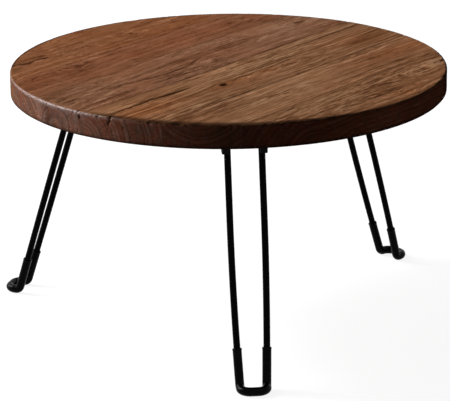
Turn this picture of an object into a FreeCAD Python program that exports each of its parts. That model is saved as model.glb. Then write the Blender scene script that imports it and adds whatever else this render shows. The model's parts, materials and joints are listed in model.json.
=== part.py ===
import FreeCAD, Part
import math
import os

# Round low table for sitting on the floor: a solid top of old boards on three folding legs.
# Each leg is one hairpin of steel wire that swings in under the top. Lengths are millimetres.
# Z is up and the floor is at z = 0. Leg 1 stands near -Y, and the origin is under the middle of
# the table's whole outline, feet included.

# Tabletop
top_diameter = 600.0
top_thickness = 32.0
table_height = 356.0
upper_edge_radius = 3.0
lower_edge_chamfer = 1.5
grain_azimuth = 40.0  # degrees from +X, the way the boards run
board_width_shares = (0.196, 0.130, 0.170, 0.183, 0.146, 0.175)  # of the diameter, far board first
seam_bevel = 0.4  # eased edge of each board along its glue line, on the upper face

# Dowels inside the glued seams
dowel_diameter = 8.0
dowel_length = 40.0
dowel_chamfer = 1.0
dowel_height_share = 0.62  # of the thickness, up from the underside: above the screw tips
dowel_place_shares = (-0.64, 0.0, 0.64)  # of half the seam's length
glue_gap = 0.05

# Legs
leg_azimuths = (-97.5, 28.0, 152.0)  # degrees from +X: set out by hand, so a little uneven
hinge_radius = 216.0  # table axis to hinge axis
hinge_drop = 12.0  # underside to hinge axis
leg_splay = 17.5  # degrees outwards from the vertical, legs open
wire_diameter = 9.0
wire_end_chamfer = 0.6
rod_spacing = 45.0  # between the two rods' middles, at the hinge
heel_spacing = 35.0  # the same at the heel
taper_start = 97.5  # along the rod, hinge axis to where the rods begin to close in
shoulder_bend_radius = 5.0  # rod into the hinge pin
heel_bend_radius = 7.0  # rod into the foot loop
foot_reach = 18.0  # heel corner to the front of the foot loop, wire middle
foot_corner_radius = 13.0

# Plastic sleeve over the foot
sleeve_diameter = 12.0
sleeve_bore_gap = 0.05
sleeve_height = 59.5  # top of the sleeve above the floor
cuff_diameter = 12.8  # rolled end of the sleeve
cuff_length = 3.0
cuff_chamfer = 0.5

# Hinge bracket, pressed from steel plate
plate_gauge = 2.0
plate_length = 92.0
plate_corner_radius = 8.0
inner_bend_radius = 1.0
ear_side_gap = 0.9  # rod to ear
ear_radius = 16.0  # round side of the ear about the hinge axis
pivot_clearance = 0.05  # radial, wire in its hole
stop_gap = 0.3  # open rod to stop lip
stop_height = 11.0
stop_width = 8.0
detent_height = 0.6
detent_radius = 2.2
detent_distance = 12.5  # from the hinge axis
detent_side_gap = 0.5  # detent to the rod it holds
folded_drop = 8.0  # degrees, the lowest folded leg under level

# Push nuts on the wire ends
nut_diameter = 15.0
nut_rim = 0.6
nut_thickness = 1.2
nut_crown_diameter = 11.5
nut_gap = 0.2
wire_end_proud = 0.7

# Wood screws
screw_length = 16.0
screw_diameter = 4.5
screw_tip = 4.0
screw_head_diameter = 9.0
screw_head_height = 2.4
screw_hole_gap = 0.3
recess_width = 4.6
recess_slot = 0.9
recess_depth = 1.3
screw_row_x = 34.0  # screws from the hinge axis, along the leg's direction
screw_row_y = 14.0

# Worked out from the sizes above
cut_overrun = 5.0
top_radius = top_diameter / 2
underside = table_height - top_thickness
axis_height = underside - hinge_drop
wire_radius = wire_diameter / 2
sleeve_radius = sleeve_diameter / 2
splay = math.radians(leg_splay)
rod_length = (axis_height - sleeve_radius) / math.cos(splay)
heel_distance = hinge_radius + rod_length * math.sin(splay)
heel_run = heel_bend_radius * math.tan((math.pi / 2 - splay) / 2)
taper_run = (rod_length - heel_run - taper_start) / 2
taper_in = (rod_spacing - heel_spacing) / 2
toe_in = taper_in / math.hypot(rod_length - taper_start - taper_run, taper_in)
front_half_width = heel_spacing / 2 - foot_reach * toe_in
front_turn = abs(math.radians(leg_azimuths[0] + 90.0))  # leg 1 from the -Y direction
front_reach = ((heel_distance + foot_reach - foot_corner_radius) * math.cos(front_turn)
               + (front_half_width - foot_corner_radius) * math.sin(front_turn)
               + foot_corner_radius + sleeve_radius)
axis_y = (max(front_reach, top_radius) - top_radius) / 2
ear_inner = rod_spacing / 2 + wire_radius + ear_side_gap
ear_outer = ear_inner + plate_gauge
outer_bend_radius = inner_bend_radius + plate_gauge
pin_end = ear_outer + nut_gap + nut_thickness + wire_end_proud


def vec(x, y, z=0.0):
    return FreeCAD.Vector(x, y, z)


def polygon(points):
    return Part.Face(Part.makePolygon(points + points[:1]))


def face_of(edges):
    return Part.Face(Part.Wire(edges))


def line(a, b):
    return Part.LineSegment(a, b).toShape()


def arc(a, middle, b):
    return Part.Arc(a, middle, b).toShape()


def quarter(a, centre, b):
    # quarter arc from a to b about a centre
    outward = (a - centre) + (b - centre)
    middle = centre + outward * ((a - centre).Length / outward.Length)
    return arc(a, middle, b)


def revolve(profile):
    return profile.revolve(vec(0, 0, 0), vec(0, 0, 1), 360)


def place_at_leg(shape, azimuth):
    # from the leg's own frame (x outwards, y along the hinge, z up) to the table's frame
    turned = shape.copy()
    turned.rotate(vec(0, 0, 0), vec(0, 0, 1), azimuth)
    angle = math.radians(azimuth)
    x, y = hinge_radius * math.cos(angle), hinge_radius * math.sin(angle)
    turned.translate(vec(x, axis_y + y, axis_height))
    return turned


# Tabletop

def top_disc():
    # turned disc with a rounded upper edge and a small chamfer below
    lo, hi, r = underside, table_height, top_radius
    a, b = lower_edge_chamfer, upper_edge_radius
    edges = [
        line(vec(0, 0, lo), vec(r - a, 0, lo)),
        line(vec(r - a, 0, lo), vec(r, 0, lo + a)),
        line(vec(r, 0, lo + a), vec(r, 0, hi - b)),
        quarter(vec(r, 0, hi - b), vec(r - b, 0, hi - b), vec(r - b, 0, hi)),
        line(vec(r - b, 0, hi), vec(0, 0, hi)),
        line(vec(0, 0, hi), vec(0, 0, lo)),
    ]
    disc = revolve(face_of(edges))
    disc.translate(vec(0, axis_y, 0))
    return disc


def seam_offsets():
    # where each board starts and ends across the grain, from the far edge to the near one
    offsets = [top_radius]
    for share in board_width_shares:
        offsets.append(offsets[-1] - share * top_diameter)
    return offsets


def along_grain(shape):
    # from a frame whose x runs along the grain through the table's axis
    turned = shape.copy()
    turned.rotate(vec(0, 0, 0), vec(0, 0, 1), grain_azimuth)
    turned.translate(vec(0, axis_y, 0))
    return turned


def board_blank(far, near, is_first, is_last):
    # long plank between two seams, its upper edges eased at the seams only
    bottom, top = underside - cut_overrun, table_height
    half = top_radius + cut_overrun
    if is_first:
        far = far + cut_overrun
    if is_last:
        near = near - cut_overrun
    points = [
        vec(-half, near, bottom),
        vec(-half, near, top - seam_bevel),
        vec(-half, near + seam_bevel, top),
        vec(-half, far - seam_bevel, top),
        vec(-half, far, top - seam_bevel),
        vec(-half, far, bottom),
    ]
    return along_grain(polygon(points).extrude(vec(2 * half, 0, 0)))


def seam_dowel_places(offset):
    half_seam = math.sqrt(top_radius ** 2 - offset ** 2)
    height = underside + dowel_height_share * top_thickness
    return [vec(share * half_seam, offset, height) for share in dowel_place_shares]


def dowel(place, gap):
    # across the seam, with chamfered ends; gap widens and lengthens it for its hole
    radius, half = dowel_diameter / 2 + gap, dowel_length / 2 + gap
    points = [
        vec(0, 0, -half),
        vec(radius - dowel_chamfer, 0, -half),
        vec(radius, 0, -half + dowel_chamfer),
        vec(radius, 0, half - dowel_chamfer),
        vec(radius - dowel_chamfer, 0, half),
        vec(0, 0, half),
    ]
    pin = revolve(polygon(points))
    pin.rotate(vec(0, 0, 0), vec(1, 0, 0), 90)
    pin.translate(place)
    return along_grain(pin)


def seam_dowels(offset):
    return Part.makeCompound([dowel(place, 0) for place in seam_dowel_places(offset)])


def tabletop_boards():
    pilots = [place_at_leg(pilot, azimuth) for azimuth in leg_azimuths for pilot in pilot_holes()]
    drilled = top_disc().cut(Part.makeCompound(pilots))
    offsets = seam_offsets()
    last = len(board_width_shares) - 1
    boards = []
    for k in range(len(board_width_shares)):
        board = drilled.common(board_blank(offsets[k], offsets[k + 1], k == 0, k == last))
        holes = []
        if k > 0:
            holes += [dowel(place, glue_gap) for place in seam_dowel_places(offsets[k])]
        if k < last:
            holes += [dowel(place, glue_gap) for place in seam_dowel_places(offsets[k + 1])]
        board = board.cut(Part.makeCompound(holes))
        boards.append(board.Solids[0])
    return boards


# Hairpin leg, in the leg's own frame with the hinge axis along y through the origin

def unit(v):
    return v * (1 / v.Length)


def rounded_path(points, radii):
    # straight runs joined by tangent arcs; radii belong to the inner points
    edges, start = [], points[0]
    for k in range(1, len(points) - 1):
        corner = points[k]
        back, ahead = unit(points[k - 1] - corner), unit(points[k + 1] - corner)
        half = back.getAngle(ahead) / 2
        run = radii[k - 1] / math.tan(half)
        inward = unit(back + ahead)
        middle = corner + inward * (radii[k - 1] / math.sin(half) - radii[k - 1])
        first, second = corner + back * run, corner + ahead * run
        if (first - start).Length > glue_gap:
            edges.append(line(start, first))
        edges.append(arc(first, middle, second))
        start = second
    edges.append(line(start, points[-1]))
    return edges


def half_path():
    # one rod: hinge pin, shoulder, straight rod, slow taper, heel, front corner of the foot
    down = vec(math.sin(splay), 0, -math.cos(splay))
    top_y, heel_y = rod_spacing / 2, heel_spacing / 2
    pin_tip = vec(0, pin_end, 0)
    shoulder = vec(0, top_y, 0)
    heel = down * rod_length + vec(0, heel_y, 0)
    bend = down * (taper_start + taper_run) + vec(0, top_y, 0)
    front = heel + vec(foot_reach, front_half_width - heel_y, 0)
    turn = (shoulder - bend).getAngle(heel - bend) / 2
    taper_radius = (taper_run - glue_gap) * math.tan(turn)
    middle = vec(front.x, 0, front.z)
    radii = [shoulder_bend_radius, taper_radius, heel_bend_radius, foot_corner_radius]
    return rounded_path([pin_tip, shoulder, bend, heel, front, middle], radii)


def bar_piece(edge, radius):
    # the bar along one run: a cylinder, or a bend turned about the arc's own centre
    start, tangent = edge.valueAt(edge.FirstParameter), edge.tangentAt(edge.FirstParameter)
    if isinstance(edge.Curve, Part.Line):
        return Part.makeCylinder(radius, edge.Length, start, tangent)
    centre, bend_radius = edge.Curve.Center, edge.Curve.Radius
    section = Part.Face(Part.Wire(Part.makeCircle(radius, start, tangent)))
    axis = (start - centre).cross(tangent)
    return section.revolve(centre, axis, math.degrees(edge.Length / bend_radius))


def mirrored(shape):
    return shape.mirror(vec(0, 0, 0), vec(0, 1, 0))


def round_bar(half, radius):
    # both rods and the foot loop as one bar, from half of its path
    pieces = [bar_piece(edge, radius) for edge in half]
    pieces += [mirrored(piece) for piece in pieces]
    return pieces[0].fuse(pieces[1:]).Solids[0]


def leg_wire():
    bar = round_bar(half_path(), wire_radius)
    ends = [edge for edge in bar.Edges if abs(abs(edge.CenterOfMass.y) - pin_end) < wire_end_chamfer]
    return bar.makeChamfer(wire_end_chamfer, ends)


def sleeve_half_path():
    # the lower end of the rod's path, from the top of the sleeve down
    half = half_path()
    along = rod_length - (sleeve_height - sleeve_radius) / math.cos(splay)
    down = vec(math.sin(splay), 0, -math.cos(splay))
    for k, edge in enumerate(half):
        start, end = edge.valueAt(edge.FirstParameter), edge.valueAt(edge.LastParameter)
        if start.dot(down) <= along < end.dot(down):
            travel = (along - start.dot(down)) / (end.dot(down) - start.dot(down)) * edge.Length
            begin = edge.getParameterByLength(travel)
            return [edge.Curve.toShape(begin, edge.LastParameter)] + half[k + 1:]


def foot_sleeve():
    half = sleeve_half_path()
    solid = round_bar(half, sleeve_radius)
    top = half[0].valueAt(half[0].FirstParameter)
    direction = half[0].tangentAt(half[0].FirstParameter)
    cuff = Part.makeCylinder(cuff_diameter / 2, cuff_length, top, direction)
    cuff = cuff.makeChamfer(cuff_chamfer, [e for e in cuff.Edges if e.Closed])
    solid = solid.fuse([cuff, mirrored(cuff)])
    bore = round_bar(half, wire_radius + sleeve_bore_gap)
    return solid.cut(bore).Solids[0]


def push_nuts():
    # dished spring washers pressed onto the two wire ends
    bore, rim, crown = wire_radius + glue_gap, nut_diameter / 2, nut_crown_diameter / 2
    points = [
        vec(bore, 0, 0), vec(rim, 0, 0), vec(rim, 0, nut_rim),
        vec(crown, 0, nut_thickness), vec(bore, 0, nut_thickness),
    ]
    nut = revolve(polygon(points))
    nut.rotate(vec(0, 0, 0), vec(1, 0, 0), -90)
    nut.translate(vec(0, ear_outer + nut_gap, 0))
    return Part.makeCompound([nut, mirrored(nut)])


# Hinge bracket, in the leg's own frame

def stop_face_x():
    # inner face of the stop lip, just clear of the open rod at the lip's lower edge
    return ear_radius * math.tan(splay) + wire_radius / math.cos(splay) + stop_gap


def channel_section():
    # plate folded down on both sides, in the y-z plane
    top, under = hinge_drop, hinge_drop - plate_gauge
    low = -ear_radius - cut_overrun
    wo, wi, ro, ri = ear_outer, ear_inner, outer_bend_radius, inner_bend_radius
    edges = [
        line(vec(0, -wo, low), vec(0, -wo, top - ro)),
        quarter(vec(0, -wo, top - ro), vec(0, -wo + ro, top - ro), vec(0, -wo + ro, top)),
        line(vec(0, -wo + ro, top), vec(0, wo - ro, top)),
        quarter(vec(0, wo - ro, top), vec(0, wo - ro, top - ro), vec(0, wo, top - ro)),
        line(vec(0, wo, top - ro), vec(0, wo, low)),
        line(vec(0, wo, low), vec(0, wi, low)),
        line(vec(0, wi, low), vec(0, wi, under - ri)),
        quarter(vec(0, wi, under - ri), vec(0, wi - ri, under - ri), vec(0, wi - ri, under)),
        line(vec(0, wi - ri, under), vec(0, -wi + ri, under)),
        quarter(vec(0, -wi + ri, under), vec(0, -wi + ri, under - ri), vec(0, -wi, under - ri)),
        line(vec(0, -wi, under - ri), vec(0, -wi, low)),
        line(vec(0, -wi, low), vec(0, -wo, low)),
    ]
    return face_of(edges)


def ears():
    # folded channel trimmed to the ears' side view: round inboard, straight at the stop lip
    r, top = ear_radius, hinge_drop
    edge_x = stop_face_x() + plate_gauge - outer_bend_radius
    side = face_of([
        line(vec(-r, 0, top), vec(-r, 0, 0)),
        quarter(vec(-r, 0, 0), vec(0, 0, 0), vec(0, 0, -r)),
        line(vec(0, 0, -r), vec(edge_x, 0, -r)),
        line(vec(edge_x, 0, -r), vec(edge_x, 0, top)),
        line(vec(edge_x, 0, top), vec(-r, 0, top)),
    ])
    side.translate(vec(0, -ear_outer - cut_overrun, 0))
    trim = side.extrude(vec(0, 2 * (ear_outer + cut_overrun), 0))
    channel = channel_section()
    channel.translate(vec(-r - cut_overrun, 0, 0))
    return channel.extrude(vec(2 * (r + cut_overrun), 0, 0)).common(trim)


def stop_lip():
    # the ear's front edge folded in across the rod's path
    far, wo, wi = stop_face_x() + plate_gauge, ear_outer, ear_inner
    ro, ri, g = outer_bend_radius, inner_bend_radius, plate_gauge
    tip, root, low = wi - stop_width, far - ro - g, -ear_radius
    lip = face_of([
        line(vec(root, wo, low), vec(far - ro, wo, low)),
        quarter(vec(far - ro, wo, low), vec(far - ro, wo - ro, low), vec(far, wo - ro, low)),
        line(vec(far, wo - ro, low), vec(far, tip, low)),
        line(vec(far, tip, low), vec(far - g, tip, low)),
        line(vec(far - g, tip, low), vec(far - g, wi - ri, low)),
        quarter(vec(far - g, wi - ri, low), vec(far - ro, wi - ri, low), vec(far - ro, wi, low)),
        line(vec(far - ro, wi, low), vec(root, wi, low)),
        line(vec(root, wi, low), vec(root, wo, low)),
    ])
    return lip.extrude(vec(0, 0, stop_height))


def detents():
    # pressed dimples that a sprung rod snaps past: one holds it open, one folded
    half_rod = math.asin((wire_radius + detent_side_gap + detent_radius) / detent_distance)
    open_angle = -math.pi / 2 + splay - half_rod
    folded_angle = -math.pi + math.radians(folded_drop) + half_rod
    ball = (detent_radius ** 2 + detent_height ** 2) / (2 * detent_height)
    bumps, pits = [], []
    for angle in (open_angle, folded_angle):
        x, z = detent_distance * math.cos(angle), detent_distance * math.sin(angle)
        tip = vec(x, ear_inner - detent_height, z)
        bump = Part.makeSphere(ball, tip + vec(0, ball, 0))
        web = Part.makeCylinder(detent_radius, detent_height + plate_gauge / 2, tip, vec(0, 1, 0))
        bumps.append(bump.common(web))
        pits.append(Part.makeSphere(ball, vec(x, ear_outer - detent_height + ball, z)))
    return bumps, pits


def base_plate():
    # flat plate against the underside, corners rounded
    half_x, half_y = plate_length / 2, ear_outer - outer_bend_radius
    corner = vec(-half_x, -half_y, hinge_drop - plate_gauge)
    plate = Part.makeBox(plate_length, 2 * half_y, plate_gauge, corner)
    corners = [e for e in plate.Edges if abs(e.tangentAt(e.FirstParameter).z) > 0.5]
    return plate.makeFillet(plate_corner_radius, corners)


def screw_places():
    return [vec(x, y, hinge_drop - plate_gauge)
            for x in (-screw_row_x, screw_row_x) for y in (-screw_row_y, screw_row_y)]


def bracket():
    lip = stop_lip()
    bumps, pits = detents()
    adds = [base_plate(), lip, mirrored(lip)]
    adds += bumps + [mirrored(bump) for bump in bumps]
    cuts = pits + [mirrored(pit) for pit in pits]
    half = ear_outer + cut_overrun
    cuts.append(Part.makeCylinder(wire_radius + pivot_clearance, 2 * half, vec(0, -half, 0), vec(0, 1, 0)))
    hole = Part.makeCylinder(screw_diameter / 2 + screw_hole_gap, 2 * plate_gauge)
    for place in screw_places():
        cuts.append(hole.translated(place - vec(0, 0, plate_gauge / 2)))
    return ears().fuse(adds).cut(cuts).removeSplitter().Solids[0]


def wood_screw(place):
    # pan head down against the plate, shank up into the wood, cross recess
    r, h, s = screw_head_diameter / 2, screw_head_height, screw_diameter / 2
    rise = screw_length - screw_tip
    edges = [
        arc(vec(0, 0, -h), vec(r * math.sin(math.pi / 4), 0, -h * math.cos(math.pi / 4)), vec(r, 0, 0)),
        line(vec(r, 0, 0), vec(s, 0, 0)),
        line(vec(s, 0, 0), vec(s, 0, rise)),
        line(vec(s, 0, rise), vec(0, 0, screw_length)),
        line(vec(0, 0, screw_length), vec(0, 0, -h)),
    ]
    screw = revolve(face_of(edges))
    corner = vec(-recess_width / 2, -recess_slot / 2, -h - cut_overrun)
    slot = Part.makeBox(recess_width, recess_slot, cut_overrun + recess_depth, corner)
    cross = slot.copy()
    cross.rotate(vec(0, 0, 0), vec(0, 0, 1), 90)
    screw = screw.cut([slot, cross])
    screw.translate(place)
    return screw


def bracket_screws():
    return Part.makeCompound([wood_screw(place) for place in screw_places()])


def pilot_holes():
    radius = screw_diameter / 2 + glue_gap
    depth = screw_length + glue_gap
    return [Part.makeCylinder(radius, depth, place) for place in screw_places()]


def all_nodes():
    nodes = {}
    for k, board in enumerate(tabletop_boards()):
        nodes[f"top_board_{k + 1}"] = board
    for k, offset in enumerate(seam_offsets()[1:-1]):
        nodes[f"seam_{k + 1}_dowels"] = seam_dowels(offset)
    wire, sleeve, nuts = leg_wire(), foot_sleeve(), push_nuts()
    plate, screws = bracket(), bracket_screws()
    for k, azimuth in enumerate(leg_azimuths):
        nodes[f"hinge_bracket_{k + 1}"] = place_at_leg(plate, azimuth)
        nodes[f"bracket_{k + 1}_screws"] = place_at_leg(screws, azimuth)
        nodes[f"leg_{k + 1}_wire"] = place_at_leg(wire, azimuth)
        nodes[f"leg_{k + 1}_foot_sleeve"] = place_at_leg(sleeve, azimuth)
        nodes[f"leg_{k + 1}_push_nuts"] = place_at_leg(nuts, azimuth)
    return nodes


os.makedirs("parts", exist_ok=True)
for name, shape in all_nodes().items():
    shape.exportStep(f"parts/{name}.step")
    print(name, shape.isValid(), len(shape.Solids), round(shape.Volume, 1))
print("hinge height", axis_height, "table axis y", axis_y, "reach of the front leg", front_reach)
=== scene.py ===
import json
import math

import bpy
import numpy as np
from mathutils import Matrix, Vector


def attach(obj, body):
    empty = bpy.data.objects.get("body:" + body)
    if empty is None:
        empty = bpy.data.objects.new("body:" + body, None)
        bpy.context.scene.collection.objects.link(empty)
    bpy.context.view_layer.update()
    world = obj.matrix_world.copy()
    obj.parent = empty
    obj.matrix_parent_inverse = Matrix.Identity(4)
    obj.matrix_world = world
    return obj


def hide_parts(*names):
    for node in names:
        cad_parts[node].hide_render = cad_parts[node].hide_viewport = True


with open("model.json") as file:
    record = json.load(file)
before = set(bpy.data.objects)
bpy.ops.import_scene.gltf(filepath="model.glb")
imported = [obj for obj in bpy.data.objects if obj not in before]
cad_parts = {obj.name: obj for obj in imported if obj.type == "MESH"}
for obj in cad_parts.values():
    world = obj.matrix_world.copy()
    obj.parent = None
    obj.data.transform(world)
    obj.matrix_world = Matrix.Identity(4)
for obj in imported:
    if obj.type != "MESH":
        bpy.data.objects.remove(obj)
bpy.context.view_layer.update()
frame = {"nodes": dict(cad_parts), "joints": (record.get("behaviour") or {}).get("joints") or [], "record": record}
mm = 0.001

# Everything is in metres: z up, the floor at 0, leg 1 near -Y.

tableTop = {
    "diameter": 600 * mm,
    "thickness": 32 * mm,
    "upperEdgeRadius": 3 * mm,
    "lowerEdgeChamfer": 1.5 * mm,
    "grainAngle": math.radians(40),
    "seams": [300, 182.4, 104.4, 2.4, -107.4, -195, -300],  # mm across the grain, far edge first
    "seamBow": [0, 1.5, -2, 5, 2, -1.5, 0],  # mm, hand-planed joints are not quite straight
    "rowStep": 0.8 * mm,
    "outerRowShare": 0.55,  # the two outer boards, all rim, get by with fewer lines
    "topSamples": 380,
    "underSamples": 60,
    "bendSamples": 9,
    "sideSamples": 14,
}

topRadius = tableTop["diameter"] / 2
topCentre = np.array(frame["record"]["mounts"][0]["pos_m"])  # middle of the upper face
boardCount = len(tableTop["seams"]) - 1


# Small numpy helpers

def smooth(edge0, edge1, x):
    # cubic step from 0 at edge0 to 1 at edge1
    t = np.clip((x - edge0) / (edge1 - edge0), 0, 1)
    return t * t * (3 - 2 * t)


def ripple(x, y, seed, count=12, pace=0.7):
    # sum of sine waves with random directions and phases, about -1 to 1, one cycle per unit or so
    dice = np.random.default_rng(seed)
    total = np.zeros(np.broadcast(x, y).shape)
    for _ in range(count):
        kx, ky = dice.normal(size=2)
        total += np.sin(2 * np.pi * (kx * x + ky * y) * pace + dice.uniform(0, 2 * np.pi))
    return total / math.sqrt(count / 2) / 2


def gridFaces(rows, cols, wrapRows=False, wrapCols=False):
    # corner numbers of the quads of a rows by cols grid of points
    lastRow = rows if wrapRows else rows - 1
    lastCol = cols if wrapCols else cols - 1
    r, c = np.meshgrid(np.arange(lastRow), np.arange(lastCol), indexing="ij")
    r2, c2 = (r + 1) % rows, (c + 1) % cols
    quads = np.stack([r2 * cols + c, r2 * cols + c2, r * cols + c2, r * cols + c], -1)
    return quads.reshape(-1, 4)


def addObject(name, data):
    made = bpy.data.objects.new(name, data)
    bpy.context.scene.collection.objects.link(made)
    return made


def meshPiece(name, points, quads, caps=(), sharp=35):
    # one smooth mesh object from points, quads and a few many-sided caps, with edges past a turn sharp
    mesh = bpy.data.meshes.new(name)
    mesh.from_pydata(points, [], quads.tolist() + [list(cap) for cap in caps])
    mesh.validate()
    mesh.polygons.foreach_set("use_smooth", np.ones(len(mesh.polygons), bool))
    mesh.set_sharp_from_angle(angle=math.radians(sharp))
    return addObject(name, mesh)


def giveAttribute(piece, name, values):
    layer = piece.data.attributes.new(name, "FLOAT", "POINT")
    layer.data.foreach_set("value", values.astype(np.float32).ravel())


# Shader helpers

def setInputs(tree, node, values):
    # a socket is linked, anything else becomes the input's own value
    for key, value in values.items():
        if isinstance(value, bpy.types.NodeSocket):
            tree.links.new(value, node.inputs[key])
        else:
            node.inputs[key].default_value = value


def addNode(tree, kind, inputs=None, **settings):
    made = tree.nodes.new(kind)
    for key, value in settings.items():
        setattr(made, key, value)
    setInputs(tree, made, inputs or {})
    return made


def calc(tree, operation, *values):
    return addNode(tree, "ShaderNodeMath", dict(enumerate(values)), operation=operation).outputs[0]


def vectorCalc(tree, operation, *values):
    made = addNode(tree, "ShaderNodeVectorMath", dict(enumerate(values)), operation=operation)
    return made.outputs["Value" if operation in ("LENGTH", "DOT_PRODUCT") else "Vector"]


def span(tree, value, low, high, toLow=0.0, toHigh=1.0):
    # smooth step of a value between low and high
    inputs = {"Value": value, "From Min": low, "From Max": high, "To Min": toLow, "To Max": toHigh}
    return addNode(tree, "ShaderNodeMapRange", inputs, interpolation_type="SMOOTHSTEP").outputs["Result"]


def noise(tree, vector, scale, detail=2.0, roughness=0.5):
    inputs = {"Vector": vector, "Scale": scale, "Detail": detail, "Roughness": roughness}
    return addNode(tree, "ShaderNodeTexNoise", inputs).outputs["Fac"]


def blendColours(tree, share, first, second, mode="MIX"):
    inputs = {0: share}
    for key, colour in ((6, first), (7, second)):  # a Mix node's sockets for colours
        inputs[key] = colour if isinstance(colour, bpy.types.NodeSocket) else (*colour, 1)
    return addNode(tree, "ShaderNodeMix", inputs, data_type="RGBA", blend_type=mode).outputs[2]


def tinted(tree, colour, factor):
    return blendColours(tree, 1.0, colour, factor, "MULTIPLY")


def newGroup(name, inputs, outputs):
    # inputs by name with their default, outputs by name with how many numbers they hold
    kinds = {1: "NodeSocketFloat", 3: "NodeSocketVector", 4: "NodeSocketColor"}
    tree = bpy.data.node_groups.new(name, "ShaderNodeTree")
    for label, value in inputs.items():
        socket = tree.interface.new_socket(label, in_out="INPUT", socket_type=kinds[np.size(value)])
        socket.default_value = value
    for label, size in outputs.items():
        tree.interface.new_socket(label, in_out="OUTPUT", socket_type=kinds[size])
    return tree, tree.nodes.new("NodeGroupInput").outputs, tree.nodes.new("NodeGroupOutput")


def newMaterial(name):
    material = bpy.data.materials.new(name)
    material.use_nodes = True
    tree = material.node_tree
    return material, tree, tree.nodes["Principled BSDF"]


def placeGroup(tree, group, values):
    return addNode(tree, "ShaderNodeGroup", values, node_tree=group).outputs


# Old wood: rings about a pith that runs along the board, streaks, fine fibres, dark veins and stains

woodFigure = {
    # noises drawn out along the grain: cycles a metre along, across and up, detail, roughness, offset
    "streaks": ((8.0, 72.0, 72.0), 4.0, 0.72, 0.0),
    "dashes": ((36.0, 170.0, 170.0), 3.0, 0.65, 0.0),
    "fibres": ((70.0, 520.0, 520.0), 2.0, 0.6, 0.0),
    "blotches": ((6.0, 16.0, 16.0), 3.0, 0.55, 0.0),
    "breaks": ((10.0, 34.0, 34.0), 2.0, 0.6, 0.7),
    "pores": ((60.0, 1500.0, 1500.0), 1.0, 0.5, 0.0),
    "lively": ((5.0, 20.0, 20.0), 2.0, 0.5, 0.19),
    "patches": ((6.0, 22.0, 22.0), 2.0, 0.5, 0.0),
    # thin lines: cycles a metre, width, offset, then the fineness of their noise
    "veins": ((2.0, 64.0, 64.0), 0.028, 0.0),
    "darkLines": ((6.0, 120.0, 120.0), 0.048, 0.31),
    "paleLines": ((6.0, 100.0, 100.0), 0.050, 0.53),
    "lineNoise": (1.5, 0.5),
    "lineCore": 0.2,  # share of a line's width that is full
    # slow and quick wavering of the grain: cycles a metre, metres aside
    "wavering": (((3.0, 14.0, 14.0), (0.0, 0.016, 0.010)), ((16.0, 50.0, 50.0), (0.0, 0.0036, 0.0036))),
    # where masks begin and are full, with the factors between which lively stretches lie
    "lineBreaks": (0.46, 0.58),
    "poreSpan": (0.60, 0.72),
    "livelySpan": (0.40, 0.62, 0.45, 1.45),
    "ringSlide": 37.0,  # ring widths for each metre of slide
}

woodWeights = {  # how much each part adds to the tone, and the tone to the colour
    "dashes": 0.95, "fibres": 0.6, "darkLines": -0.38, "paleLines": 0.26, "pores": -0.12,
    "streaks": 0.80, "veins": -0.42, "blotches": 0.60, "tone": 2.2, "warmth": 1.7,
}

woodShades = {  # factors on the wood's colour: pale streaks are greyer than it, dark ones redder
    "dark": (0.46, 0.40, 0.34),
    "pale": (1.55, 1.85, 2.15),
    "red": (1.07, 0.90, 0.76),
    "olive": (0.95, 1.06, 1.10),
}


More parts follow.
